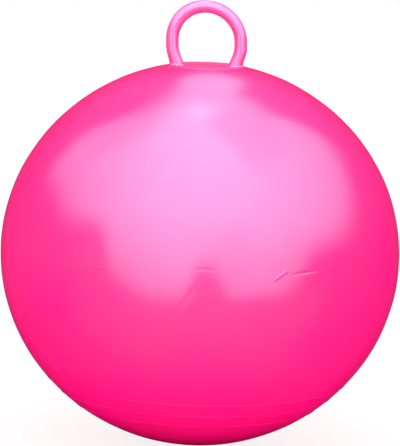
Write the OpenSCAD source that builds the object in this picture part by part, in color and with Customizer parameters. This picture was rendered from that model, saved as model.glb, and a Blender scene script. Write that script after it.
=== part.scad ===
// Hopper ball with a ring handle, blown up and standing on the floor.
// Millimetres, +Z up. The origin is on the floor, under the middle of the ball.
// The loop of the handle faces -Y, and the valve is on the other side, at +Y.

/* [Ball] */
// Diameter of the blown-up ball around its middle
ball_d = 450; // [380:1:650]
// How far each pole lies inside a true sphere of that diameter
pole_drop = 8.5; // [4:0.5:16]
// Thickness of the moulded skin
skin_t = 1.1; // [0.8:0.1:2.5]
// Radius of the patch that the floor presses flat
foot_r = 26; // [12:1:45]

/* [Grip rings] */
// Number of fine raised rings around the underside
ring_count = 3; // [1:1:4]
// Distance of the smallest ring from the bottom pole, along the skin
ring_start = 148; // [110:1:165]
// Distance from one ring to the next, along the skin
ring_pitch = 22; // [12:1:26]
// Width of a ring's bead
ring_w = 2.6; // [1.6:0.1:4]
// Height of a ring's bead above the skin
ring_rise = 0.4; // [0.2:0.1:0.8]

/* [Handle] */
// Diameter of the loop's round rod
grip_d = 13.4; // [11:0.2:17]
// Clear width inside the loop, at its widest
loop_w = 63.2; // [54:0.2:80]
// Height of the half circle's centre above the flange's rim
loop_rise = 27.6; // [25:0.1:36]
// Straight stretch of each leg below the half circle
leg_straight = 4; // [2:0.5:8]
// Radius of the curve on which the legs then lean in to the flange
bend_r = 41; // [38:1:80]
// How far the flange reaches beyond the outer side of the legs
flange_margin = 3.4; // [1:0.1:6]
// Thickness of the flange at its rim
flange_t = 3.4; // [3:0.1:6]
// How far the flange's round rim stands above the floor inside it
rim_rise = 1.2; // [0.5:0.1:1.4]
// Radius of the hollow where each leg spreads into the flange
foot_fillet = 3.2; // [1.5:0.1:5]
// Diameter of the neck that goes through the skin
neck_d = 30; // [22:1:40]
// Wall of the neck around its hollow core
neck_wall = 4; // [2.5:0.5:7]
// How far the lip under the collar reaches beyond the neck
lip_reach = 5; // [2:0.5:9]
// Thickness of the lip
lip_t = 3; // [2:0.5:6]

/* [Collar for the handle] */
// Thickness of the skin's collar under the flange
collar_t = 3.2; // [2:0.1:5]
// Depth of the round recess in the skin that the flange sits in
recess_depth = 3.4; // [2:0.1:5]
// Width of the groove left around the flange in that recess
recess_gap = 1.2; // [0.5:0.1:3]
// How far the thick collar reaches beyond the recess, inside the skin
collar_reach = 6; // [3:0.5:9]

/* [Valve bush] */
// Angle between the valve and the top of the ball, to the back
valve_tilt = 26; // [22:1:45]
// Diameter of the hole that takes the stopper
bore_d = 9.2; // [7:0.1:11]
// Wall of the barrel around that hole
barrel_wall = 4.4; // [3:0.1:7]
// Length of the barrel below the bush's flange
barrel_len = 14; // [10:0.5:20]
// How far the bush's flange reaches beyond the barrel
bush_reach = 5; // [2.5:0.5:9]
// Thickness of the bush's flange
bush_flange_t = 2.6; // [2:0.1:4]
// Thickness of the skin's pad behind the bush's flange
pad_t = 2.4; // [1.5:0.1:4]
// How far the pad reaches beyond the bush's flange
pad_reach = 4; // [2:0.5:9]

/* [Stopper] */
// Diameter of the stopper's flat head
head_d = 16; // [13:0.5:17.5]
// Thickness of the head
head_t = 1.3; // [0.9:0.1:1.8]
// Length of the shank below the head
shank_len = 21; // [16:0.5:28]
// How much thinner than the hole the shank is between its ribs
shank_relief = 1.2; // [0.6:0.1:2]
// Number of holding ribs on the shank
rib_count = 3; // [1:1:4]
// Distance from one rib to the next
rib_pitch = 4; // [3:0.25:4.5]
// Radius of a rib's round edge
rib_r = 0.9; // [0.6:0.1:1.2]
// Depth of the thumb hollow in the head
thumb_depth = 0.5; // [0.2:0.1:0.7]

/* [Fits] */
// Running gap between a round part and the hole that takes it
fit_gap = 0.2; // [0.1:0.05:0.4]
// Gap between the lip and the underside of the collar
lip_gap = 0.3; // [0.1:0.05:0.6]

/* [Hidden] */

// Facets of the ball's outline, and of everything small
ball_facets = 200;
small_facets = 72;
// How far a cutting shape runs past what it cuts
overrun = 1;

// The ball's outline is an oval of four arcs: two flat crowns and a belly.
// Their centres and the points where they meet lie on 3-4-5 triangles, so
// an arc ends where the slope of its radius is 3 in 5.
rise_share = 3 / 5;
belly_offset_share = 2;
crown_offset_share = 1.5;
half_w = ball_d / 2;
half_h = half_w - pole_drop;
belly_offset = belly_offset_share * pole_drop;
belly_r = half_w - belly_offset;
crown_offset = crown_offset_share * pole_drop;
crown_r = half_h + crown_offset;
foot_sag = sagitta(crown_r, foot_r);
mid_z = half_h - foot_sag;
top_crown_z = mid_z - crown_offset;
bottom_crown_z = mid_z + crown_offset;

// A bead is the part of this circle that stands above the skin
bead_r = arc_radius(ring_w, ring_rise);
degrees_per_radian = 180 / PI;

// The loop, seen from the front, and where the middle of a leg meets the rim
grip_r = grip_d / 2;
loop_r = loop_w / 2 + grip_r;
bend_x = loop_r - bend_r;
leg_drop = loop_rise - leg_straight;
foot_x = bend_x + height_on(bend_r, leg_drop);
flange_r = bend_x + height_on(bend_r + grip_r, leg_drop) + flange_margin;
bend_angle = asin((leg_drop + flange_t + overrun) / (bend_r - grip_r));
rim_r = flange_t / 2;
// A leg's spread is centred between its axis at the rim and at the fillet's
// top, and stays inside the flange by a share of the flange's margin
spread_x = (foot_x + bend_x + height_on(bend_r, leg_drop - foot_fillet)) / 2;
spread_inset_share = 1 / 4;
spread_r = flange_r - spread_inset_share * flange_margin;
neck_r = neck_d / 2;

// The recess is measured down from the crown at its own edge
recess_r = flange_r + recess_gap;
seat_z = top_crown_z + height_on(crown_r, recess_r) - recess_depth;
collar_r = recess_r + collar_reach;
loop_z = seat_z + flange_t + loop_rise;

// Heights at the valve are measured outwards from the skin's outer face.
// The pad's face lies inside the skin's thickness, by a share of it, and the
// shank runs up into the head, by a share of the head
pad_sink_share = 1 / 3;
shank_rise_share = 1 / 2;
bore_r = bore_d / 2;
barrel_r = bore_r + barrel_wall;
bush_r = barrel_r + bush_reach;
bush_top = -sagitta(crown_r, bush_r + fit_gap);
bush_seat = bush_top - bush_flange_t;
pad_r = bush_r + pad_reach;
pad_top = -sagitta(crown_r, pad_r) - pad_sink_share * skin_t;
pad_bottom = bush_seat - pad_t;
head_r = head_d / 2;
head_seat = bush_top - head_t;
rib_reach = bore_r - fit_gap;
shank_r = bore_r - shank_relief;
first_rib_z = head_seat - shank_len + 2 * rib_r;
thumb_r = arc_radius(head_d - head_t, thumb_depth);

// Height on a circle of radius r, at the distance x from its centre line
function height_on(r, x) = sqrt(r * r - x * x);

// Height of an arc of radius r over a chord of half width half
function sagitta(r, half) = r - height_on(r, half);

// Radius of the arc that spans width and rises by rise
function arc_radius(width, rise) = (width * width / 4 + rise * rise) / (2 * rise);

// Height above the middle at which a crown meets the belly, both inset alike
function join_z(inset) = rise_share * (crown_r - inset) - crown_offset;

// Right half of one crown, from the axis to where the belly takes over
module crown_sector(inset) {
    intersection() {
        translate([0, -crown_offset])
            circle(r = crown_r - inset, $fn = ball_facets);
        translate([0, join_z(inset)])
            square([ball_d, ball_d]);
    }
}

// The belly, between the two crowns
module belly_sector(inset) {
    intersection() {
        translate([belly_offset, 0])
            circle(r = belly_r - inset, $fn = ball_facets);
        translate([0, -join_z(inset)])
            square([ball_d, 2 * join_z(inset)]);
    }
}

// Right half of the ball's outline, inset from the outer face of the skin
module half_oval(inset) {
    translate([0, mid_z]) {
        crown_sector(inset);
        mirror([0, 1]) crown_sector(inset);
        belly_sector(inset);
    }
}

// The grip rings, each a bead on the lower crown
module ring_beads() {
    for (i = [0 : ring_count - 1]) {
        angle = (ring_start + i * ring_pitch) / crown_r * degrees_per_radian;
        translate([0, bottom_crown_z])
            rotate(angle - 90)
                translate([crown_r + ring_rise - bead_r, 0])
                    circle(r = bead_r, $fn = small_facets);
    }
}

// What the skin fills: flat at the floor and in the handle's recess
module outer_outline() {
    difference() {
        union() {
            half_oval(0);
            ring_beads();
        }
        translate([-overrun, -ball_d])
            square([ball_d, ball_d]);
        translate([-overrun, seat_z])
            square([overrun + recess_r, ball_d]);
    }
}

// The air space, stopped short by the floor patch and the collar
module air_outline() {
    difference() {
        half_oval(skin_t);
        translate([-overrun, skin_t - ball_d])
            square([ball_d, ball_d]);
        translate([-overrun, seat_z - collar_t])
            square([collar_r + overrun, ball_d]);
    }
}

// Places a shape at the valve, with +Z pointing straight out of the skin
module at_valve() {
    translate([0, 0, top_crown_z])
        rotate([-valve_tilt, 0, 0])
            translate([0, 0, crown_r])
                children();
}

module ball_skin() {
    color("#fe1478")
        difference() {
            union() {
                rotate_extrude($fn = ball_facets)
                    difference() {
                        outer_outline();
                        air_outline();
                        translate([-overrun, seat_z - collar_t - overrun])
                            square([overrun + neck_r + fit_gap, collar_t + 2 * overrun]);
                    }
                at_valve()
                    translate([0, 0, pad_bottom])
                        cylinder(r = pad_r, h = pad_top - pad_bottom, $fn = small_facets);
            }
            at_valve() {
                translate([0, 0, bush_seat])
                    cylinder(r = bush_r + fit_gap, h = bush_flange_t + overrun, $fn = small_facets);
                translate([0, 0, pad_bottom - overrun])
                    cylinder(r = barrel_r + fit_gap, h = pad_t + 2 * overrun, $fn = small_facets);
            }
        }
}

// A stretch of the rod on a curve of radius r, in the plane of the loop
module rod_arc(r, start, angle) {
    rotate([90, 0, 0])
        rotate_extrude(angle = angle, start = start, $fn = ball_facets)
            translate([r, 0])
                circle(r = grip_r, $fn = small_facets);
}

// One leg of the loop, on the +X side, down to the flange's underside
module leg() {
    translate([loop_r, 0, -leg_straight])
        cylinder(r = grip_r, h = leg_straight, $fn = small_facets);
    difference() {
        translate([bend_x, 0, -leg_straight])
            rod_arc(bend_r, -bend_angle, bend_angle);
        translate([0, -loop_r, -loop_rise - flange_t - bend_r])
            cube([2 * loop_r, 2 * loop_r, bend_r]);
    }
}

// The rod of the handle: a half circle and two legs
module loop_rod() {
    rod_arc(loop_r, 0, 180);
    leg();
    mirror([1, 0, 0]) leg();
}

// The hollow-sided foot where a leg spreads into the flange
module leg_spread() {
    intersection() {
        translate([spread_x, 0, rim_r])
            rotate_extrude($fn = small_facets)
                difference() {
                    square([grip_r + foot_fillet, rim_r + foot_fillet]);
                    translate([grip_r + foot_fillet, rim_r + foot_fillet])
                        circle(r = foot_fillet, $fn = small_facets);
                }
        cylinder(r = spread_r, h = flange_t + foot_fillet, $fn = ball_facets);
    }
}

// The round flange, a floor inside a rounded rim, standing on z = 0
module flange() {
    rotate_extrude($fn = ball_facets) {
        square([flange_r - rim_r, flange_t - rim_rise]);
        translate([flange_r - rim_r, rim_r])
            difference() {
                circle(r = rim_r, $fn = small_facets);
                translate([-flange_t, -flange_t])
                    square([flange_t, flange_t]);
            }
    }
}

// The cored neck and its holding lip, below the flange
module neck() {
    neck_len = collar_t + lip_gap;
    rotate_extrude($fn = small_facets)
        difference() {
            union() {
                translate([0, -neck_len])
                    square([neck_r, neck_len]);
                translate([0, -neck_len - lip_t])
                    square([neck_r + lip_reach, lip_t]);
            }
            translate([-overrun, -neck_len - lip_t - overrun])
                square([overrun + neck_r - neck_wall, neck_len + lip_t]);
        }
}

module handle() {
    color("#ff5cae")
        union() {
            translate([0, 0, loop_z]) loop_rod();
            translate([0, 0, seat_z]) {
                flange();
                leg_spread();
                mirror([1, 0, 0]) leg_spread();
                neck();
            }
        }
}

module valve_bush() {
    color("#f03c8c")
        at_valve()
            rotate_extrude($fn = small_facets)
                difference() {
                    union() {
                        translate([0, bush_seat])
                            square([bush_r, bush_flange_t]);
                        translate([0, bush_seat - barrel_len])
                            square([barrel_r, barrel_len + overrun]);
                    }
                    translate([-overrun, bush_seat - barrel_len - overrun])
                        square([overrun + bore_r, barrel_len + bush_flange_t + 2 * overrun]);
                    translate([-overrun, head_seat])
                        square([overrun + head_r + fit_gap, head_t + overrun]);
                    translate([-overrun, bush_top])
                        square([overrun + bush_r, 2 * overrun]);
                }
}

module valve_plug() {
    color("#f6f4f2")
        at_valve()
            rotate_extrude($fn = small_facets)
                difference() {
                    union() {
                        translate([0, head_seat])
                            square([head_r, head_t]);
                        translate([0, head_seat - shank_len])
                            square([shank_r, shank_len + shank_rise_share * head_t]);
                        for (i = [0 : rib_count - 1])
                            translate([rib_reach - rib_r, first_rib_z + i * rib_pitch])
                                circle(r = rib_r, $fn = small_facets);
                    }
                    intersection() {
                        translate([0, bush_top - thumb_depth + thumb_r])
                            circle(r = thumb_r, $fn = ball_facets);
                        translate([-overrun, bush_top - head_t])
                            square([overrun + head_r, head_t + overrun]);
                    }
                }
}

ball_skin();
handle();
valve_bush();
valve_plug();
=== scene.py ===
"""Looks of a hopper ball with a ring handle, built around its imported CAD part.

Everything is in metres, in the part's frame: +Z up, the origin on the floor
under the middle of the ball, the loop of the handle facing -Y. An azimuth
is 0 towards the camera and grows to the camera's right, in degrees.
"""

import logging
import math
from collections.abc import Callable
from dataclasses import dataclass
from enum import Enum
from typing import Any

import bmesh
import bpy
import numpy as np
from mathutils import Matrix, Vector, noise


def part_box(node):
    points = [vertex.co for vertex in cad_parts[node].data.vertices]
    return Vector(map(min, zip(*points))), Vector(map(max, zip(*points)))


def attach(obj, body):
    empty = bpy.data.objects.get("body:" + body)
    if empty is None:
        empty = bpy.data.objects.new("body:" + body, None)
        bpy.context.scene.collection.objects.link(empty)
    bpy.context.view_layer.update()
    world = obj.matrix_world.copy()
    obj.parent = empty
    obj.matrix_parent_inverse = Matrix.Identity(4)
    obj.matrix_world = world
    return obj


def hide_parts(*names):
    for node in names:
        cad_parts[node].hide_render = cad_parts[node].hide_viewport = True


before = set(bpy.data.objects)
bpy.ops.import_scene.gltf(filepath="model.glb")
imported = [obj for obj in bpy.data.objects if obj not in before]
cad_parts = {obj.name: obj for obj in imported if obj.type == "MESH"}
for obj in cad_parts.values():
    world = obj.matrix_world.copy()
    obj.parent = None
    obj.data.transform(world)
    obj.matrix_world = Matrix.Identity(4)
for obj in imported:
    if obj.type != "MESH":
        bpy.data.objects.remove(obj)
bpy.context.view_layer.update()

log = logging.getLogger("hopper_ball")

MM = 0.001
FULL_TURN = 2 * math.pi
WELD_REACH = 0.001 * MM
WHITE = (1.0, 1.0, 1.0, 1.0)
MIX_OUTPUTS = {"FLOAT": 0, "RGBA": 2}
Array = np.ndarray
Outline = list[tuple[float, float]]
Faces = list[tuple[int, ...]]
Steps = tuple[tuple[float, float, float], ...]


class Piece(Enum):
    """Names of the pieces that this script builds."""

    SKIN = "skin"
    HANDLE = "ring_handle"
    BUSH = "valve_insert"
    STOPPER = "valve_stopper"
    FLOOR = "studio_floor"


class Node(Enum):
    """The CAD part's nodes."""

    SKIN = "ball_skin"
    HANDLE = "handle"
    BUSH = "valve_bush"
    STOPPER = "valve_plug"


class Body(Enum):
    """The two bodies of the part's motion."""

    BALL = "ball"
    STOPPER = "stopper"


class Slot(Enum):
    """The record's material slots."""

    BALL = "ball_vinyl"
    HANDLE = "handle_vinyl"
    VALVE = "valve_vinyl"
    STOPPER = "stopper_plastic"


def linear(hex_colour: str) -> tuple[float, ...]:
    """Turn an sRGB colour like "#rrggbb" into the linear colour that a shader takes."""
    parts = [int(hex_colour[i : i + 2], 16) / 255 for i in (1, 3, 5)]
    return (*(c / 12.92 if c <= 0.04045 else ((c + 0.055) / 1.055) ** 2.4 for c in parts), 1.0)


def add(tree: bpy.types.NodeTree, kind: str, feeds: dict | None = None, **settings: Any) -> Any:
    """Add one node with its settings and links.

    Args:
        tree: the node tree that gets the node.
        kind: Blender's type name of the node.
        feeds: for an input's name or number, a value or the output that it is linked to.
        settings: the node's own properties.

    Returns:
        The new node.
    """
    node = tree.nodes.new(kind)
    for name, value in settings.items():
        setattr(node, name, value)
    for key, value in (feeds or {}).items():
        if isinstance(value, bpy.types.NodeSocket):
            tree.links.new(value, node.inputs[key])
        else:
            node.inputs[key].default_value = value
    return node


def fresh_tree(owner: bpy.types.Material | bpy.types.World) -> bpy.types.NodeTree:
    """Switch on a material's or a world's nodes, and clear them.

    Args:
        owner: the material or the world.

    Returns:
        Its empty node tree.
    """
    owner.use_nodes = True
    owner.node_tree.nodes.clear()
    return owner.node_tree


def mix(tree: bpy.types.NodeTree, data_type: str, share: Any, a: Any, b: Any) -> Any:
    """Add a node that goes from a to b with the share, and give its output."""
    node = add(tree, "ShaderNodeMix", {"Factor": share, "A": a, "B": b}, data_type=data_type)
    return node.outputs[MIX_OUTPUTS[data_type]]


def smooth_step(low: float, high: float, x: Any) -> Any:
    """Rise smoothly from 0 at low to 1 at high, and stay there beyond."""
    t = np.clip((x - low) / (high - low), 0, 1)
    return t * t * (3 - 2 * t)


def soft_min(a: Any, b: Any, soft: float) -> Any:
    """Take the smaller of two values, rounded where they differ by less than soft."""
    share = np.clip(0.5 + 0.5 * (b - a) / soft, 0, 1)
    return b + (a - b) * share - soft * share * (1 - share)


def soft_max(a: Any, b: Any, soft: float) -> Any:
    """Take the larger of two values, rounded where they are nearly equal."""
    return -soft_min(-a, -b, soft)


@dataclass(frozen=True)
class VinylFinish:
    """Plasticised PVC or polyethylene, as it comes out of a polished mould.

    The wet-looking skin gives a broad, soft reflection, the pigment is a
    little uneven, and a fine grain keeps the gloss from looking like glass.
    """

    name: str
    colour: str
    deep_colour: str
    roughness: float
    roughness_swing: float = 0.03
    ior: float = 1.53
    specular: float = 0.9
    # A noise's detail is its octaves and how fine they stay
    mottle_size: float = 60 * MM
    mottle_detail: tuple[float, float] = (4.0, 0.55)
    mottle_range: tuple[float, float] = (0.3, 0.7)
    # The mould's own grain is too fine to show, so it is drawn as coarse as this
    grain_size: float = 2.2 * MM
    grain_detail: tuple[float, float] = (3.0, 0.5)
    grain_depth: float = 0.008 * MM

    def build(self) -> bpy.types.Material:
        """Make the material.

        Returns:
            The finished material.
        """
        material = bpy.data.materials.new(self.name)
        tree = fresh_tree(material)
        place = add(tree, "ShaderNodeTexCoord").outputs["Object"]

        def noise_of(size: float, octaves: float, fineness: float) -> Any:
            """Add a noise whose lumps have one size."""
            feeds = {"Vector": place, "Scale": 1 / size, "Detail": octaves, "Roughness": fineness}
            return add(tree, "ShaderNodeTexNoise", feeds).outputs["Fac"]

        mottle = noise_of(self.mottle_size, *self.mottle_detail)
        low, high = self.mottle_range

        def over_mottle(start: float, end: float) -> Any:
            """Go from start to end over the mottle's usual range."""
            feeds = {"Value": mottle, "From Min": low, "From Max": high, "To Min": start, "To Max": end}
            return add(tree, "ShaderNodeMapRange", feeds).outputs["Result"]

        pigment = over_mottle(0.0, 1.0)
        colour = mix(tree, "RGBA", pigment, linear(self.deep_colour), linear(self.colour))
        swing = self.roughness_swing
        gloss = over_mottle(self.roughness + swing, self.roughness - swing)
        grain = noise_of(self.grain_size, *self.grain_detail)
        feeds = {"Height": grain, "Distance": self.grain_depth, "Strength": 1.0}
        normal = add(tree, "ShaderNodeBump", feeds).outputs["Normal"]
        shader = add(
            tree,
            "ShaderNodeBsdfPrincipled",
            {
                "Base Color": colour,
                "Roughness": gloss,
                "IOR": self.ior,
                "Specular IOR Level": self.specular,
                "Normal": normal,
            },
        )
        add(tree, "ShaderNodeOutputMaterial", {"Surface": shader.outputs["BSDF"]})
        return material


# The ball's thin, saturated skin, the thicker, milkier handle, and the small valve pieces
BALL_VINYL = VinylFinish("plastisol_pvc_ball", "#fe017f", "#fd0179", roughness=0.21)
HANDLE_VINYL = VinylFinish(
    "moulded_pvc_handle", "#fe4698", "#fd4092",
    roughness=0.25, ior=1.57, specular=1.0,
    mottle_size=25 * MM, grain_size=1.2 * MM, grain_depth=0.006 * MM,
)
VALVE_VINYL = VinylFinish(
    "moulded_pvc_valve", "#f22e88", "#ee2a80",
    roughness=0.32, mottle_size=14 * MM, grain_size=0.9 * MM, grain_depth=0.006 * MM,
)
STOPPER_PLASTIC = VinylFinish(
    "injected_polyethylene", "#e05c9c", "#d95696",
    roughness=0.42, ior=1.51, specular=0.5, mottle_size=8 * MM, grain_size=0.7 * MM,
)


def finish_piece(
    piece: bpy.types.Object, node: Node, body: Body, finish: VinylFinish
) -> bpy.types.Object:
    """Dress a piece and tie it to the part.

    Args:
        piece: the piece that this script has built.
        node: the CAD node that it stands for.
        body: the body that it moves with.
        finish: the material to make for it.

    Returns:
        The same piece.
    """
    piece.data.materials.append(finish.build())
    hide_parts(node.value)
    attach(piece, body.value)
    log.info("%s: %d faces", piece.name, len(piece.data.polygons))
    return piece


def mesh_object(name: str, points: Array, faces: Faces) -> bpy.types.Object:
    """Make a smooth-shaded mesh object.

    Args:
        name: the object's name.
        points: one row of x, y and z for each vertex.
        faces: the vertex numbers of each face.

    Returns:
        The new object, linked to the scene.
    """
    mesh = bpy.data.meshes.new(name)
    mesh.from_pydata([tuple(p) for p in points.tolist()], [], faces)
    mesh.update()
    mesh.shade_smooth()
    made = bpy.data.objects.new(name, mesh)
    bpy.context.scene.collection.objects.link(made)
    return made


def sweep(turn: Array, reach: Array, height: Array) -> Array:
    """Turn an outline around the vertical axis.

    Args:
        turn: the turns from the front, in radians.
        reach: the distances of the outline's places from the axis.
        height: their heights.

    Returns:
        An array of places, turns and x, y, z.
    """
    points = np.zeros((len(reach), len(turn), 3))
    points[:, :, 0] = reach[:, None] * np.sin(turn)
    points[:, :, 1] = -reach[:, None] * np.cos(turn)
    points[:, :, 2] = height[:, None]
    return points


def ring_faces(rings: int, count: int, closed: bool) -> Faces:
    """Join rings of vertices, each to the next, with four-sided faces.

    Args:
        rings: how many rings there are.
        count: how many vertices a ring has.
        closed: whether the last ring is joined to the first.

    Returns:
        The vertex numbers of each face.
    """
    faces = []
    for ring in range(rings if closed else rings - 1):
        low = ring * count
        high = (ring + 1) % rings * count
        for i in range(count):
            j = (i + 1) % count
            faces.append((low + i, low + j, high + j, high + i))
    return faces


@dataclass
class OvalProfile:
    """The ball's outline: two flat crowns and a belly, on 3-4-5 triangles.

    A place on it is given by the angle of the outward normal above the
    horizontal, from -90 degrees at the bottom pole to 90 at the top one.
    """

    half_width: float
    pole_drop: float = 8.5 * MM
    # The arcs' centres lie off the middle by these shares of the drop, a 3-4-5 triangle's legs
    belly_share: float = 2.0
    crown_share: float = 1.5
    foot_r: float = 26 * MM

    def __post_init__(self) -> None:
        """Work out the arcs' centres and radii."""
        self.belly_offset = self.belly_share * self.pole_drop
        self.belly_r = self.half_width - self.belly_offset
        self.crown_offset = self.crown_share * self.pole_drop
        half_height = self.half_width - self.pole_drop
        self.crown_r = half_height + self.crown_offset
        foot_sag = self.crown_r - math.sqrt(self.crown_r**2 - self.foot_r**2)
        self.mid_z = half_height - foot_sag
        self.join = math.atan2(self.crown_share, self.belly_share)

    def point(self, angle: Array, rise: Any = 0.0) -> tuple[Array, Array]:
        """Find places on the outline.

        Args:
            angle: the normal's angle above the horizontal, in radians.
            rise: how far the place stands out from the outline.

        Returns:
            The distance from the axis, and the height.
        """
        crown = np.abs(angle) > self.join
        centre_x = np.where(crown, 0.0, self.belly_offset)
        centre_z = self.mid_z - np.where(crown, np.sign(angle) * self.crown_offset, 0.0)
        radius = np.where(crown, self.crown_r, self.belly_r) + rise
        return centre_x + radius * np.cos(angle), centre_z + radius * np.sin(angle)

    def belly_angle(self, height: float) -> float:
        """Angle of the normal at a height on the belly, in radians."""
        return math.asin((height - self.mid_z) / self.belly_r)


@dataclass
class ValveSpot:
    """Where the valve sits on the top crown, with its tilt to the back in degrees."""

    profile: OvalProfile
    tilt: float = 26.0
    seat_depth: float = 3.04 * MM

    def matrix(self) -> Matrix:
        """Take +Z straight out of the skin, from the skin's outer face.

        Returns:
            The matrix from the valve's own frame to the part's.
        """
        centre = Matrix.Translation((0, 0, self.profile.mid_z - self.profile.crown_offset))
        tilted = centre @ Matrix.Rotation(-math.radians(self.tilt), 4, "X")
        return tilted @ Matrix.Translation((0, 0, self.profile.crown_r))


@dataclass
class Lathe:
    """Turns a closed outline of distance and height around its axis."""

    place: Matrix
    segments: int = 96

    @staticmethod
    def rounded(corners: Outline, soft: float, steps: int = 4) -> Outline:
        """Round the corners of a closed outline.

        Args:
            corners: the outline's corners, counter-clockwise.
            soft: how far from a corner its round starts, where there is room.
            steps: how many points lie inside each round.

        Returns:
            The outline with its rounds.
        """
        rounded = []
        for i, (x, z) in enumerate(corners):
            here = Vector((x, z))
            before = Vector(corners[i - 1]) - here
            after = Vector(corners[(i + 1) % len(corners)]) - here
            reach = min(soft, before.length / 3, after.length / 3)
            start = here + before.normalized() * reach
            end = here + after.normalized() * reach
            for step in range(steps + 1):
                t = step / steps
                spot = start * (1 - t) ** 2 + here * 2 * t * (1 - t) + end * t**2
                rounded.append((spot.x, spot.y))
        return rounded

    def turn(self, name: str, outline: Outline) -> bpy.types.Object:
        """Turn the outline into a closed ring-shaped or solid piece.

        Args:
            name: the piece's name.
            outline: closed, counter-clockwise; points on the axis are merged.

        Returns:
            The new piece.
        """
        turns = np.arange(self.segments) * FULL_TURN / self.segments
        points = sweep(turns, *np.array(outline).T)
        faces = ring_faces(len(outline), self.segments, closed=True)
        piece = mesh_object(name, points.reshape(-1, 3), faces)
        weld(piece.data)
        piece.data.transform(self.place)
        return piece


def weld(mesh: bpy.types.Mesh, cut: Callable[[bmesh.types.BMesh], None] | None = None) -> None:
    """Merge vertices that lie together, and turn the faces outwards.

    Args:
        mesh: the mesh to mend.
        cut: changes the mesh in between.
    """
    soup = bmesh.new()
    soup.from_mesh(mesh)
    bmesh.ops.remove_doubles(soup, verts=soup.verts, dist=WELD_REACH)
    if cut:
        cut(soup)
    bmesh.ops.recalc_face_normals(soup, faces=soup.faces)
    soup.to_mesh(mesh)
    soup.free()


@dataclass(frozen=True)
class Crease:
    """A short fold that the blown-up skin keeps from its time in the box.

    It runs between two places, each an azimuth in degrees and a height. A
    positive rise is a ridge and a negative one a groove.
    """

    start: tuple[float, float]
    end: tuple[float, float]
    rise: float
    half_width: float
    run_out_share: float = 0.1
    run_in_share: float = 0.2

    def height(self, azimuth: Array, z: Array, reach: float) -> Array:
        """Find how far the skin stands out because of this fold.

        Args:
            azimuth: azimuths of the places, in degrees.
            z: their heights.
            reach: the ball's radius there.

        Returns:
            The rise at each place.
        """
        across = math.radians(1) * reach
        way = np.array([(self.end[0] - self.start[0]) * across, self.end[1] - self.start[1]])
        length = float(np.hypot(*way))
        way = way / length
        x = (azimuth - self.start[0]) * across
        y = z - self.start[1]
        along = x * way[0] + y * way[1]
        aside = y * way[0] - x * way[1]
        run_out = self.run_out_share * length
        run_in = self.run_in_share * length
        ends = smooth_step(-run_out, run_in, along)
        ends = ends * smooth_step(length + run_out, length - run_in, along)
        return self.rise * ends * np.exp(-((aside / self.half_width) ** 2))


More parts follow.
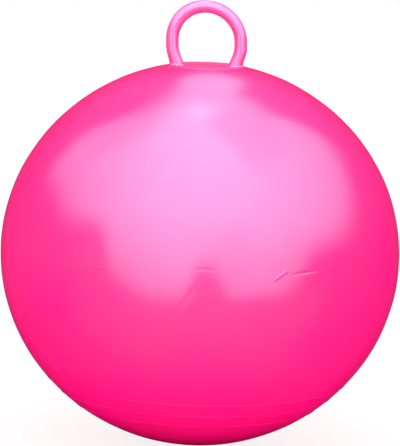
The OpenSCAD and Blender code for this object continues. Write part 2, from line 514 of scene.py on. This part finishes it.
@dataclass
class BallSkin:
    """The blown-up skin, a closed shell with its seat, foot, rings and pad."""

    profile: OvalProfile
    valve: ValveSpot
    seat_z: float
    skin_t: float = 1.1 * MM
    recess_for_flange_r: float = 43.35 * MM
    mouth_soft: float = 1.0 * MM
    mouth_shares: tuple[float, ...] = (0.7, 0.4, 0.2, 0.0)
    collar_t: float = 3.2 * MM
    collar_reach: float = 6 * MM
    neck_hole_r: float = 15.2 * MM
    foot_soft: float = 0.5 * MM
    # The rows at the foot's edge, and how far they reach from it, in radians
    foot_rows: int = 9
    foot_spread: float = 0.022
    ring_count: int = 3
    ring_start: float = 148 * MM
    ring_pitch: float = 22 * MM
    ring_w: float = 2.6 * MM
    ring_rise: float = 0.4 * MM
    ring_rows: int = 11
    ring_reach_share: float = 0.7
    row_step: float = 5.0 * MM
    inner_step: float = 16.0 * MM
    angle_digits: int = 5
    sharp_from: float = 35.0
    wave_size: float = 42 * MM
    wave_rise: float = 0.26 * MM
    # Between which distances the waves grow in, from the floor, the flange and the valve
    foot_calm: tuple[float, float] = (2 * MM, 25 * MM)
    mouth_calm: tuple[float, float] = (1 * MM, 20 * MM)
    valve_calm: tuple[float, float] = (24 * MM, 45 * MM)
    patch_r: float = 24 * MM
    patch_clear: float = 27 * MM
    patch_depth: float = 30 * MM
    patch_segments: int = 72
    recess_r: float = 14.2 * MM
    recess_soft: float = 0.35 * MM
    recess_rows: int = 6
    # Where the soft edge of the recess passes, outwards and downwards
    recess_soft_shares: tuple[float, float] = (0.1, 0.3)
    barrel_hole_r: float = 9.2 * MM
    pad_r: float = 18 * MM
    pad_bottom: float = -5.44 * MM
    # Where the mesh is closer: azimuths in degrees with their steps, and heights with theirs
    column_steps: Steps = (
        (-180, -41, 2.5),
        (-41, -24, 0.5),
        (-24, -8, 1.2),
        (-8, 6, 0.5),
        (6, 19, 1.2),
        (19, 36, 0.22),
        (36, 46, 1.2),
        (46, 180, 2.5),
    )
    row_steps: Steps = (
        (174 * MM, 216 * MM, 1.6 * MM),
        (216 * MM, 233 * MM, 0.8 * MM),
        (233 * MM, 248 * MM, 1.4 * MM),
    )
    creases: tuple[Crease, ...] = (
        Crease((20.4, 219 * MM), (24.4, 229 * MM), 0.42 * MM, 1.1 * MM),
        Crease((26.0, 225 * MM), (34.6, 228 * MM), -0.3 * MM, 1.1 * MM),
        Crease((-1.8, 231 * MM), (4.6, 230.5 * MM), -0.1 * MM, 1.2 * MM),
        Crease((-31.6, 225 * MM), (-25.4, 226 * MM), 0.16 * MM, 1.3 * MM),
        Crease((-36.8, 244 * MM), (-34.8, 239 * MM), -0.2 * MM, 1.4 * MM),
        Crease((-7.4, 177 * MM), (-0.6, 214 * MM), -0.08 * MM, 2.2 * MM),
        Crease((-5.0, 180 * MM), (0.8, 205 * MM), 0.08 * MM, 2.2 * MM),
    )

    def columns(self) -> Array:
        """Place the mesh's columns, closer where the skin is creased.

        Returns:
            Their azimuths in degrees.
        """
        turns = [
            np.linspace(start, end, int((end - start) / step), endpoint=False)
            for start, end, step in self.column_steps
        ]
        return np.concatenate(turns)

    def outer_rows(self) -> Array:
        """Place the outer face's rows, from the bottom pole to the recess.

        Returns:
            The angles of their normals above the horizontal.
        """
        crown = self.profile.crown_r
        last = math.acos((self.recess_for_flange_r + self.mouth_soft) / crown)
        count = int((last + math.pi / 2) * crown / self.row_step)
        angles = list(np.linspace(-math.pi / 2, last, count))
        for start, end, step in self.row_steps:
            low = self.profile.belly_angle(start)
            high = self.profile.belly_angle(end)
            angles = [a for a in angles if not low < a < high]
            angles += list(np.linspace(low, high, int((end - start) / step)))
        half = self.ring_reach_share * self.ring_w / crown
        for place in self.ring_places():
            middle = place / crown - math.pi / 2
            angles = [a for a in angles if abs(a - middle) > half]
            angles += list(np.linspace(middle - half, middle + half, self.ring_rows))
        foot_edge = -math.acos(self.profile.foot_r / crown)
        angles += list(foot_edge + np.linspace(-self.foot_spread, self.foot_spread, self.foot_rows))
        return np.unique(np.round(angles, self.angle_digits))

    def ring_places(self) -> list[float]:
        """Distances of the grip rings from the bottom pole, along the skin."""
        return [self.ring_start + i * self.ring_pitch for i in range(self.ring_count)]

    def ring_height(self, angle: Array) -> Array:
        """Find how far the grip rings stand out.

        Args:
            angle: the rows' angles.

        Returns:
            The rise of each row.
        """
        height = np.zeros_like(angle)
        walk = (angle + math.pi / 2) * self.profile.crown_r
        for place in self.ring_places():
            t = np.clip(np.abs(walk - place) / (self.ring_w / 2), 0, 1)
            height = np.maximum(height, self.ring_rise * (1 - t * t) ** 1.5)
        return height

    def outer_points(self, azimuths: Array) -> Array:
        """Find the outer face's vertices.

        Args:
            azimuths: the columns, in degrees.

        Returns:
            An array of rows, columns and x, y, z.
        """
        angles = self.outer_rows()
        reach, height = self.profile.point(angles, self.ring_height(angles))
        turn = np.radians(azimuths)
        points = sweep(turn, reach, height)
        normals = sweep(turn, np.cos(angles), np.sin(angles))
        points += normals * self.relief(points, azimuths)[:, :, None]
        points[:, :, 2] = soft_max(points[:, :, 2], 0.0, self.foot_soft)
        return points

    def relief(self, points: Array, azimuths: Array) -> Array:
        """Find the slow waves and the creases of the blown-up skin.

        Args:
            points: the smooth outer face.
            azimuths: the columns, in degrees.

        Returns:
            How far each vertex stands out.
        """
        z = points[:, :, 2]
        reach = np.hypot(points[:, :, 0], points[:, :, 1])
        mouth_gap = np.abs(reach - self.recess_for_flange_r)
        mouth_gap = np.where(z > self.profile.mid_z, mouth_gap, np.inf)
        hub = np.array(self.valve.matrix().translation)
        valve_gap = np.linalg.norm(points - hub, axis=2)
        calm = smooth_step(*self.foot_calm, z)
        calm = calm * smooth_step(*self.mouth_calm, mouth_gap)
        calm = calm * smooth_step(*self.valve_calm, valve_gap)
        waves = np.array([noise.noise(Vector(p) / self.wave_size) for p in points.reshape(-1, 3)])
        rise = self.wave_rise * waves.reshape(z.shape)
        for crease in self.creases:
            rise = rise + crease.height(azimuths[None, :], z, self.profile.half_width)
        return rise * calm

    def inner_outline(self) -> Outline:
        """Follow the recess, the collar and the inner face down to the axis.

        Returns:
            Distances from the axis, and heights.
        """
        edge_r = self.recess_for_flange_r
        crown_z = self.profile.mid_z - self.profile.crown_offset
        edge_z = crown_z + math.sqrt(self.profile.crown_r**2 - edge_r**2)
        collar_r = edge_r + self.collar_reach
        collar_z = self.seat_z - self.collar_t
        outline = [
            (edge_r + share * self.mouth_soft, edge_z - (1 - share) ** 2 * self.mouth_soft)
            for share in self.mouth_shares
        ]
        outline += [
            (edge_r, self.seat_z),
            ((edge_r + self.neck_hole_r) / 2, self.seat_z),
            (self.neck_hole_r, self.seat_z),
            (self.neck_hole_r, collar_z),
            ((self.neck_hole_r + collar_r) / 2, collar_z),
            (collar_r, collar_z),
        ]
        inner_crown = self.profile.crown_r - self.skin_t
        start = math.acos(collar_r / inner_crown)
        end = -math.acos(self.profile.foot_r / inner_crown)
        count = int((start - end) * inner_crown / self.inner_step)
        reach, height = self.profile.point(np.linspace(start, end, count), -self.skin_t)
        outline += list(zip(reach, np.maximum(height, self.skin_t)))
        outline.append((0.0, self.skin_t))
        return outline

    def patch_outline(self) -> Outline:
        """Follow the valve's recess and pad, from the outer edge to the inner face.

        Returns:
            Distances from the valve's axis, and heights above the skin.
        """
        crown = self.profile.crown_r

        def on_crown(r: float, depth: float) -> float:
            """Height of the crown at a distance from the valve's axis."""
            return math.sqrt((crown - depth) ** 2 - r * r) - crown

        soft = self.recess_soft
        edge_r = self.recess_r + soft
        outline = [(r, on_crown(r, 0.0)) for r in np.linspace(self.patch_r, edge_r, self.recess_rows)]
        rim = on_crown(self.recess_r, 0.0)
        out, down = self.recess_soft_shares
        floor = -self.valve.seat_depth
        outline += [
            (self.recess_r + out * soft, rim - down * soft),
            (self.recess_r, rim - soft),
            (self.recess_r, floor),
            (self.barrel_hole_r, floor),
            (self.barrel_hole_r, self.pad_bottom),
            (self.pad_r - soft, self.pad_bottom),
            (self.pad_r, self.pad_bottom + soft),
            (self.pad_r, on_crown(self.pad_r, self.skin_t)),
            (self.patch_r, on_crown(self.patch_r, self.skin_t)),
        ]
        return outline

    def cut_patch(self, soup: bmesh.types.BMesh) -> None:
        """Swap the skin around the valve for its recess, hole and pad.

        Args:
            soup: the closed shell without the valve's hole.
        """
        into_valve = self.valve.matrix().inverted()
        gone = []
        for face in soup.faces:
            spot = into_valve @ face.calc_center_median()
            if spot.z > -self.patch_depth and math.hypot(spot.x, spot.y) < self.patch_clear:
                gone.append(face)
        bmesh.ops.delete(soup, geom=gone, context="FACES")
        open_edges = [edge for edge in soup.edges if edge.is_boundary]
        # Halfway through the skin, as far down as it has curved at the cut
        half_skin = -self.skin_t / 2 - self.patch_clear**2 / (2 * self.profile.crown_r)
        outer = [e for e in open_edges if (into_valve @ e.verts[0].co).z > half_skin]
        inner = [e for e in open_edges if e not in outer]
        # The first column stands on the valve's own X axis
        count = self.patch_segments
        turns = np.arange(count) * FULL_TURN / count + math.pi / 2
        outline = np.array(self.patch_outline())
        place = self.valve.matrix()
        spots = sweep(turns, *outline.T).reshape(-1, 3)
        verts = [soup.verts.new(place @ Vector(spot)) for spot in spots]
        for numbers in ring_faces(len(outline), count, closed=False):
            soup.faces.new([verts[n] for n in numbers])
        soup.edges.ensure_lookup_table()
        for ring, edges in ((verts[:count], outer), (verts[-count:], inner)):
            own = [soup.edges.get((ring[i - 1], ring[i])) for i in range(count)]
            bmesh.ops.bridge_loops(soup, edges=edges + own)

    def build(self) -> bpy.types.Object:
        """Make the skin.

        Returns:
            The dressed skin.
        """
        azimuths = self.columns()
        outer = self.outer_points(azimuths)
        inner = sweep(np.radians(azimuths), *np.array(self.inner_outline()).T)
        rows = np.concatenate([outer, inner])
        faces = ring_faces(len(rows), len(azimuths), closed=False)
        skin = mesh_object(Piece.SKIN.value, rows.reshape(-1, 3), faces)
        weld(skin.data, self.cut_patch)
        skin.data.shade_smooth()
        skin.data.set_sharp_from_angle(angle=math.radians(self.sharp_from))
        return finish_piece(skin, Node.SKIN, Body.BALL, BALL_VINYL)


@dataclass
class SurfaceNet:
    """Wraps the surface where a depth is zero in a net of four-sided faces.

    The depth is the distance outside a shape, negative inside it.
    """

    depth: Callable[..., Array]
    step: float
    rounds: int = 6
    slope_reach: float = 0.05 * MM
    least_slope: float = 0.05

    def slope(self, at: Array) -> Array:
        """Find the gradient of the depth, by central differences.

        Args:
            at: one row of x, y and z for each place.

        Returns:
            The gradient at each place.
        """
        parts = []
        for axis in np.eye(3) * self.slope_reach:
            ahead = self.depth(*(at + axis).T)
            behind = self.depth(*(at - axis).T)
            parts.append((ahead - behind) / (2 * self.slope_reach))
        return np.stack(parts, axis=1)

    def settle(self, spots: Array) -> Array:
        """Pull points near the surface onto it.

        Args:
            spots: one row of x, y and z for each point.

        Returns:
            The points on the surface.
        """
        for _ in range(self.rounds):
            way = self.slope(spots)
            shift = self.depth(*spots.T) / np.maximum((way**2).sum(axis=1), self.least_slope)
            spots = spots - way * np.clip(shift, -self.step, self.step)[:, None]
        return spots

    @staticmethod
    def faces(inside: Array, number: Array) -> Faces:
        """Put a face across each grid line that goes through the surface.

        Args:
            inside: for each grid point, whether it is in the shape.
            number: for each cell of the grid, the number of its vertex.

        Returns:
            The vertex numbers of each face, in order as seen from outside.
        """
        faces = []
        for axis in range(3):
            grid = np.moveaxis(inside, axis, 0)
            cells = np.moveaxis(number, axis, 0)
            # With the middle axis in front, the other two stand in mirrored order
            mirrored = axis == 1
            change = grid[:-1] ^ grid[1:]
            for i, j, k in np.argwhere(change[:, 1:-1, 1:-1]):
                quad = [cells[i, j, k], cells[i, j + 1, k], cells[i, j + 1, k + 1], cells[i, j, k + 1]]
                if bool(grid[i, j + 1, k + 1]) == mirrored:
                    quad.reverse()
                faces.append(tuple(int(n) for n in quad))
        return faces

    def wrap(self, low: Array, high: Array) -> tuple[Array, Faces, Array]:
        """Wrap the shape inside a box.

        Args:
            low: the box's lowest corner.
            high: its highest corner.

        Returns:
            The vertices, the faces, and the outward normals at the vertices.
        """
        axes = [np.arange(low[a], high[a] + self.step, self.step) for a in range(3)]
        inside = self.depth(*np.meshgrid(*axes, indexing="ij")) < 0
        corners = inside.astype(np.int8)
        corners = corners[:-1] + corners[1:]
        corners = corners[:, :-1] + corners[:, 1:]
        corners = corners[:, :, :-1] + corners[:, :, 1:]
        crossed = (corners > 0) & (corners < 8)
        number = np.full(crossed.shape, -1)
        number[crossed] = np.arange(crossed.sum())
        spots = self.settle(low + (np.argwhere(crossed) + 0.5) * self.step)
        normals = self.slope(spots)
        normals /= np.linalg.norm(normals, axis=1)[:, None]
        return spots, self.faces(inside, number), normals


@dataclass
class RingHandle:
    """The moulded handle: a leaning ring on a dished flange, with its neck.

    Heights are above the seat unless they say otherwise. The legs bend in
    towards the flange, and turn upright at their feet. The nod is in degrees,
    and the lean's limit is a share of its height.
    """

    lowest_z: float
    loop_r: float = 38.3 * MM
    grip_r: float = 7.05 * MM
    flange_t: float = 3.4 * MM
    loop_rise: float = 27.9 * MM
    leg_straight: float = 4 * MM
    bend_r: float = 41 * MM
    lean: float = 3.1 * MM
    lean_height: float = 73 * MM
    lean_limit: float = 1.2
    flange_r: float = 42.15 * MM
    rim_lift: float = 0.6 * MM
    rim_rise: float = 0.9 * MM
    dish_r: float = 27 * MM
    nod: float = 1.2
    foot_rise: float = 2.8 * MM
    foot_bend: float = 8 * MM
    foot_soft: float = 1.5 * MM
    foot_start: float = 0.3 * MM
    neck_r: float = 15 * MM
    neck_soft: float = 0.4 * MM
    core_r: float = 11 * MM
    core_top: float = 0.2 * MM
    neck_len: float = 3.5 * MM
    lip_r: float = 20 * MM
    lip_t: float = 3 * MM
    lip_soft: float = 0.8 * MM
    kink_height: float = 20.5 * MM
    kink_size: float = 4 * MM
    kink_rise: float = 0.5 * MM
    net_step: float = 0.65 * MM
    steps_before: int = 4
    steps_after: int = 2

    def __post_init__(self) -> None:
        """Work out the height of the seat from the underside of the lip."""
        self.seat_z = self.lowest_z + self.neck_len + self.lip_t

    def rod(self, x: Array, y: Array, h: Array) -> Array:
        """Find the distance outside the rod of the loop.

        Args:
            x: places to the right of the axis.
            y: their places behind it.
            h: their heights above the seat.

        Returns:
            The distances.
        """
        above_rim = soft_max(h - self.flange_t, self.foot_rise, self.foot_bend)
        x = x + self.lean * np.clip(above_rim / self.lean_height, 0, self.lean_limit) ** 2
        leg_top = self.loop_rise - self.leg_straight
        bend_x = self.loop_r - self.bend_r
        side = np.abs(x)
        ring = np.abs(np.hypot(x, above_rim - self.loop_rise) - self.loop_r)
        straight = np.abs(side - self.loop_r)
        bend = np.abs(np.hypot(side - bend_x, above_rim - leg_top) - self.bend_r)
        leg = np.where(above_rim > leg_top, straight, bend)
        aside = np.where(above_rim > self.loop_rise, ring, leg)
        kink = np.exp(-(((h - self.kink_height) / self.kink_size) ** 2)) * self.kink_rise
        kink = kink * smooth_step(self.loop_r, self.loop_r + self.grip_r, x)
        return np.hypot(aside, y) - self.grip_r - kink

    def flange(self, r: Array, h: Array) -> Array:
        """Find the distance outside the flange, a floor inside a rounded rim.

        Args:
            r: distances from the axis.
            h: heights above the seat.

        Returns:
            The distances outside.
        """
        rim_r = (self.flange_t + self.rim_lift) / 2
        rim_at = self.flange_r - rim_r
        floor_t = 2 * rim_r - self.rim_rise * smooth_step(rim_at, self.dish_r, r)
        floor = np.maximum(r - rim_at, np.abs(h - floor_t / 2) - floor_t / 2)
        rim = np.hypot(r - rim_at, h - rim_r) - rim_r
        return np.minimum(floor, rim)

    def neck(self, r: Array, h: Array) -> Array:
        """Find the distance outside the cored neck and its holding lip.

        Args:
            r: distances from the axis.
            h: heights above the seat.

        Returns:
            The distances outside.
        """
        end = -self.neck_len - self.lip_t
        shaft = np.maximum(r - self.neck_r, np.maximum(end - h, h - self.flange_t / 2))
        lip_middle = -self.neck_len - self.lip_t / 2
        lip = soft_max(r - self.lip_r, np.abs(h - lip_middle) - self.lip_t / 2, self.lip_soft)
        core = np.maximum(r - self.core_r, h)
        return soft_max(np.minimum(shaft, lip), -core, self.neck_soft)

    def depth(self, x: Array, y: Array, z: Array) -> Array:
        """Find the distance outside the whole moulding.

        Args:
            x: places in the part's frame.
            y: the same, to the back.
            z: the same, upwards.

        Returns:
            The distances.
        """
        h = z - self.seat_z
        r = np.hypot(x, y)
        nodding = h - y * math.tan(math.radians(self.nod))
        rod = np.maximum(self.rod(x, y, h), self.foot_start - nodding)
        top = soft_min(self.flange(r, nodding), rod, self.foot_soft)
        upper = np.maximum(top, -nodding)
        core_roof = np.maximum(r - self.core_r, h - self.core_top)
        return np.minimum(np.maximum(upper, -core_roof), self.neck(r, h))

    def build(self) -> bpy.types.Object:
        """Make the handle.

        Returns:
            The dressed handle.
        """
        low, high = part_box(Node.HANDLE.value)
        start = np.array(low) - self.steps_before * self.net_step
        end = np.array(high) + self.steps_after * self.net_step
        points, faces, normals = SurfaceNet(self.depth, self.net_step).wrap(start, end)
        handle = mesh_object(Piece.HANDLE.value, points, faces)
        handle.data.normals_split_custom_set_from_vertices([tuple(n) for n in normals.tolist()])
        # In the photo the skin mirrors the sky alone, with no image of the loop
        handle.visible_glossy = False
        return finish_piece(handle, Node.HANDLE, Body.BALL, HANDLE_VINYL)


@dataclass
class ValveSet:
    """The valve's bush and the flat stopper in it. Heights are above the skin."""

    spot: ValveSpot
    bore_r: float = 4.6 * MM
    barrel_r: float = 9 * MM
    barrel_len: float = 14 * MM
    bush_r: float = 14 * MM
    bush_top: float = -0.44 * MM
    head_r: float = 8 * MM
    head_seat: float = -1.74 * MM
    fit_gap: float = 0.2 * MM
    thumb_depth: float = 0.5 * MM
    thumb_r: float = 6.8 * MM
    thumb_share: float = 0.9
    thumb_steps: int = 8
    shank_r: float = 3.4 * MM
    shank_len: float = 21 * MM
    rib_count: int = 3
    rib_pitch: float = 4 * MM
    rib_r: float = 0.9 * MM
    rib_steps: int = 8
    edge: float = 0.35 * MM

    def build_bush(self) -> bpy.types.Object:
        """Make the bush that is welded into the skin.

        Returns:
            The dressed bush.
        """
        seat = -self.spot.seat_depth
        end = seat - self.barrel_len
        cup_r = self.head_r + self.fit_gap
        corners = [
            (self.bore_r, end), (self.barrel_r, end),
            (self.barrel_r, seat), (self.bush_r, seat),
            (self.bush_r, self.bush_top), (cup_r, self.bush_top),
            (cup_r, self.head_seat), (self.bore_r, self.head_seat),
        ]
        lathe = Lathe(self.spot.matrix())
        bush = lathe.turn(Piece.BUSH.value, Lathe.rounded(corners, self.edge))
        return finish_piece(bush, Node.BUSH, Body.BALL, VALVE_VINYL)

    def rib_outline(self, middle: float) -> Outline:
        """Follow one holding rib around the shank, from below upwards.

        Args:
            middle: the height of the rib's middle.

        Returns:
            Distances from the axis, and heights.
        """
        reach = self.bore_r - self.fit_gap - self.rib_r
        half = math.acos((self.shank_r - reach) / self.rib_r)
        angles = np.linspace(-half, half, self.rib_steps)
        return [(reach + self.rib_r * math.cos(a), middle + self.rib_r * math.sin(a)) for a in angles]

    def build_stopper(self) -> bpy.types.Object:
        """Make the stopper with its thumb hollow and holding ribs.

        Returns:
            The dressed stopper.
        """
        end = self.head_seat - self.shank_len
        first_rib = end + 2 * self.rib_r
        outline: Outline = [(0.0, end), (self.shank_r - self.edge, end), (self.shank_r, end + self.edge)]
        for i in range(self.rib_count):
            outline += self.rib_outline(first_rib + i * self.rib_pitch)
        head = [
            (self.shank_r, self.head_seat), (self.head_r, self.head_seat),
            (self.head_r, self.bush_top), (self.thumb_r, self.bush_top),
        ]
        # The head's outline is open, so its end rounds lose their outer halves
        outline += Lathe.rounded(head, self.edge)[2:-3]
        for share in np.linspace(self.thumb_share, 0.0, self.thumb_steps):
            dip = self.thumb_depth * (1 - share * share)
            outline.append((share * self.thumb_r, self.bush_top - dip))
        stopper = Lathe(self.spot.matrix()).turn(Piece.STOPPER.value, outline)
        return finish_piece(stopper, Node.STOPPER, Body.STOPPER, STOPPER_PLASTIC)


@dataclass(frozen=True)
class Cloud:
    """A part of the sky, in degrees, darker by a share; brighter where that is negative."""

    left: float
    right: float
    bottom: float
    top: float
    soft: float
    dark: float


@dataclass
class GlossSky:
    """The overcast sky in the gloss, over a dark skyline and pale ground.

    Each level has a low value, and gains upwards, to the front or to the
    right with the direction's sine. Other angles are in degrees.
    """

    tree: bpy.types.NodeTree
    sky_low: float = 1.0
    sky_up: float = 5.6
    sky_front: float = 4.25
    sky_back_limit: float = -0.45
    sky_right: float = 0.4
    zenith_boost: float = 0.8
    zenith_start: float = 0.85
    haze_low: float = 0.36
    haze_front: float = 0.3
    haze_up: float = 1.0
    haze_from: float = -0.45
    ground_front: float = 1.35
    clouds: tuple[Cloud, ...] = (
        Cloud(45, 150, 58, 90, 12, 0.26),
        Cloud(-155, -97, 44, 70, 8, 0.2),
        Cloud(-199, -145, 70, 86, 6, -0.16),
        Cloud(165, 199, 70, 86, 6, -0.16),
        Cloud(-174, -166, 72.5, 77, 3, -1.4),
        Cloud(-129, -109, 16, 37, 6, -0.28),
        Cloud(-80, -58, -5, 14, 5, -0.6),
        Cloud(12, 30, -8, 28, 6, 0.12),
        Cloud(-12, 6, -42, -18, 6, 0.12),
        Cloud(85, 150, -40, 2, 10, 0.6),
    )
    # Azimuth and top of what stands dark before the sky
    skyline: tuple[tuple[float, float], ...] = (
        (-180, 35), (-172, 43), (-165, 55), (-155, 60), (-132, 60), (-126, 26),
        (-119, 17), (-108, 20), (-97, 18), (-85, 15), (-70, 18), (-59, 17),
        (-54, 3), (-49, -9), (-40, -16), (-32, -22), (-10, -22), (-6, -14),
        (-2, -1), (3, 4), (9, -2), (14, -10), (19, -18), (30, -17),
        (42, -17), (52, -14), (59, -2), (67, 7.5), (91, 9), (108, 17),
        (121, 26), (130, 32), (139, 57), (160, 57), (171, 37), (180, 35),
    )
    skyline_soft: float = 7.5

    def __post_init__(self) -> None:
        """Add the nodes for the direction that is looked in."""
        way = add(self.tree, "ShaderNodeTexCoord").outputs["Generated"]
        axes = add(self.tree, "ShaderNodeSeparateXYZ", {0: way}).outputs
        self.up = axes["Z"]
        self.right = axes["X"]
        self.front = self.times(axes["Y"], -1.0)
        self.azimuth = self.math("DEGREES", self.math("ARCTAN2", self.right, self.front))
        self.height = self.math("DEGREES", self.math("ARCSINE", self.up))

    def math(self, operation: str, *values: Any) -> Any:
        """Add a Math node and give its output."""
        feeds = dict(enumerate(values))
        return add(self.tree, "ShaderNodeMath", feeds, operation=operation).outputs["Value"]

    def times(self, a: Any, b: Any, plus: Any = 0.0) -> Any:
        """Multiply two values, and add a third."""
        return self.math("MULTIPLY_ADD", a, b, plus)

    def rise(self, value: Any, low: Any, high: Any) -> Any:
        """Smoothly rise from 0 to 1 between two values.

        Args:
            value: the output that the rise follows.
            low: where it starts.
            high: where it ends.

        Returns:
            The output of the rise.
        """
        feeds = {"Value": value, "From Min": low, "From Max": high}
        node = add(self.tree, "ShaderNodeMapRange", feeds, interpolation_type="SMOOTHSTEP")
        return node.outputs["Result"]

    def band(self, value: Any, low: float, high: float, soft: float) -> Any:
        """Give 1 from low to high and 0 elsewhere, with soft ends."""
        start = self.rise(value, low - soft, low + soft)
        return self.times(start, self.rise(value, high + soft, high - soft))

    def skyline_top(self) -> Any:
        """Find the top of the skyline at the azimuth looked in.

        Returns:
            The height.
        """
        # Both axes of the curve go from 0 to 1, and the middle is the front on the horizon
        share = self.times(self.azimuth, 1 / 360, 0.5)
        curve = add(self.tree, "ShaderNodeFloatCurve", {"Value": share})
        line = curve.mapping.curves[0]
        while len(line.points) < len(self.skyline):
            line.points.new(0.5, 0.5)
        for point, (at, top) in zip(line.points, self.skyline):
            point.location = (at / 360 + 0.5, top / 180 + 0.5)
            point.handle_type = "AUTO_CLAMPED"
        curve.mapping.update()
        return self.times(curve.outputs["Value"], 180.0, -90.0)

    def sky_level(self) -> Any:
        """Find the level of the open sky, brightest high up in front.

        Returns:
            The level.
        """
        level = self.times(self.up, self.sky_up, self.sky_low)
        ahead = self.math("MAXIMUM", self.front, self.sky_back_limit)
        level = self.times(ahead, self.sky_front, level)
        level = self.times(self.right, self.sky_right, level)
        zenith = self.rise(self.up, self.zenith_start, 1.0)
        return self.times(zenith, self.zenith_boost, level)

    def haze_level(self) -> Any:
        """Find the level before the skyline, which fades out downwards.

        Returns:
            The level.
        """
        above = self.math("MAXIMUM", self.up, 0.0)
        low_haze = self.times(self.front, self.haze_front, self.haze_low)
        haze = self.times(self.times(above, above), self.haze_up, low_haze)
        return self.times(haze, self.rise(self.up, self.haze_from, 0.0))

    def ground_level(self) -> Any:
        """Find the level of the ground, which fades out downwards and to the sides.

        Returns:
            The level.
        """
        depth = self.math("MAXIMUM", self.math("ADD", self.up, 1.0), 0.0)
        ground = self.times(self.math("MAXIMUM", self.front, 0.0), self.ground_front)
        return self.times(ground, self.math("SQRT", depth))

    def level(self) -> Any:
        """Find the level of all the surroundings.

        Returns:
            The level in the direction looked in.
        """
        over = self.math("SUBTRACT", self.height, self.skyline_top())
        sky = self.rise(over, -self.skyline_soft, self.skyline_soft)
        level = mix(self.tree, "FLOAT", sky, self.haze_level(), self.sky_level())
        level = self.math("MAXIMUM", level, self.ground_level())
        for cloud in self.clouds:
            sides = self.band(self.azimuth, cloud.left, cloud.right, cloud.soft)
            ends = self.band(self.height, cloud.bottom, cloud.top, cloud.soft)
            cover = self.times(sides, ends)
            clear = self.times(cover, -cloud.dark, 1.0)
            level = self.times(level, clear)
        return level


@dataclass
class Studio:
    """A pale floor under an overcast sky, with a large soft lamp."""

    floor_size: float = 14.0
    floor_colour: str = "#f8f8f7"
    floor_white: float = 0.85
    soft_light: float = 1.2
    sky_tint: str = "#dce6ff"
    lamp_power: float = 40.0
    lamp_size: float = 2.4
    lamp_place: tuple[float, float, float] = (0.0, -0.6, 2.6)
    lamp_target: tuple[float, float, float] = (0.0, 0.0, 0.2)

    def build(self) -> None:
        """Make the floor, the sky and the lamp."""
        self.build_floor()
        self.build_world()
        self.build_lamp()

    def build_floor(self) -> None:
        """Make the floor, white to the camera apart from the shadow."""
        square = np.array([[-1, -1, 0], [1, -1, 0], [1, 1, 0], [-1, 1, 0]])
        floor = mesh_object(Piece.FLOOR.value, square * self.floor_size / 2, [(0, 1, 2, 3)])
        material = bpy.data.materials.new("painted_studio_floor")
        tree = fresh_tree(material)
        diffuse = add(tree, "ShaderNodeBsdfDiffuse", {"Color": linear(self.floor_colour)})
        white = add(tree, "ShaderNodeEmission", {"Color": WHITE, "Strength": 1.0})
        seen = add(tree, "ShaderNodeLightPath").outputs["Is Camera Ray"]
        feeds = {0: seen, 1: self.floor_white}
        share = add(tree, "ShaderNodeMath", feeds, operation="MULTIPLY").outputs["Value"]
        feeds = {0: share, 1: diffuse.outputs[0], 2: white.outputs[0]}
        mixed = add(tree, "ShaderNodeMixShader", feeds)
        add(tree, "ShaderNodeOutputMaterial", {"Surface": mixed.outputs[0]})
        floor.data.materials.append(material)
        floor.visible_glossy = False

    def build_world(self) -> None:
        """Make the sky: even for soft light, and with its skyline in the gloss."""
        world = bpy.data.worlds.new("overcast_sky")
        bpy.context.scene.world = world
        world.cycles.sampling_method = "NONE"
        tree = fresh_tree(world)
        level = GlossSky(tree).level()
        path = add(tree, "ShaderNodeLightPath").outputs
        strength = mix(tree, "FLOAT", path["Is Glossy Ray"], self.soft_light, level)
        strength = mix(tree, "FLOAT", path["Is Camera Ray"], strength, 1.0)
        tint = mix(tree, "RGBA", path["Is Glossy Ray"], WHITE, linear(self.sky_tint))
        back = add(tree, "ShaderNodeBackground", {"Color": tint, "Strength": strength})
        add(tree, "ShaderNodeOutputWorld", {"Surface": back.outputs[0]})

    def build_lamp(self) -> None:
        """Hang a large soft lamp over the ball."""
        data = bpy.data.lights.new("overhead_softbox", "AREA")
        data.shape = "DISK"
        data.size = self.lamp_size
        data.energy = self.lamp_power
        lamp = bpy.data.objects.new("overhead_softbox", data)
        lamp.location = self.lamp_place
        aim = Vector(self.lamp_target) - lamp.location
        lamp.rotation_euler = aim.to_track_quat("-Z", "Y").to_euler()
        lamp.visible_glossy = False
        bpy.context.scene.collection.objects.link(lamp)


@dataclass
class PhotoCamera:
    """The camera, where the photograph was taken from, with its angles in degrees."""

    distance: float = 3.0
    look_down: float = 8.4
    roll: float = 1.87
    look_above: float = 0.652
    lens: float = 214.1

    def build(self, target: Vector) -> None:
        """Make the camera.

        Args:
            target: the middle of the ball.
        """
        down = math.radians(self.look_down)
        back = Vector((0, -math.cos(down), math.sin(down)))
        right = Vector((1, 0, 0))
        up = back.cross(right)
        turned = Matrix((right, up, back)).transposed().to_4x4()
        turned = turned @ Matrix.Rotation(math.radians(self.roll), 4, "Z")
        turned = turned @ Matrix.Rotation(math.radians(self.look_above), 4, "X")
        data = bpy.data.cameras.new("camera")
        data.lens = self.lens
        camera = bpy.data.objects.new("camera", data)
        camera.matrix_world = Matrix.Translation(target + back * self.distance) @ turned
        bpy.context.scene.collection.objects.link(camera)
        bpy.context.scene.camera = camera


def main() -> None:
    """Build the pieces, the studio and the camera."""
    logging.basicConfig(level=logging.INFO)
    low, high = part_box(Node.SKIN.value)
    profile = OvalProfile(half_width=(high.x - low.x) / 2)
    spot = ValveSpot(profile)
    handle = RingHandle(lowest_z=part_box(Node.HANDLE.value)[0].z)
    BallSkin(profile, spot, seat_z=handle.seat_z).build()
    handle.build()
    valve = ValveSet(spot)
    valve.build_bush()
    valve.build_stopper()
    Studio().build()
    PhotoCamera().build(Vector((0, 0, profile.mid_z)))
    bpy.context.scene.view_settings.view_transform = "Standard"


if __name__ == "__main__":
    main()
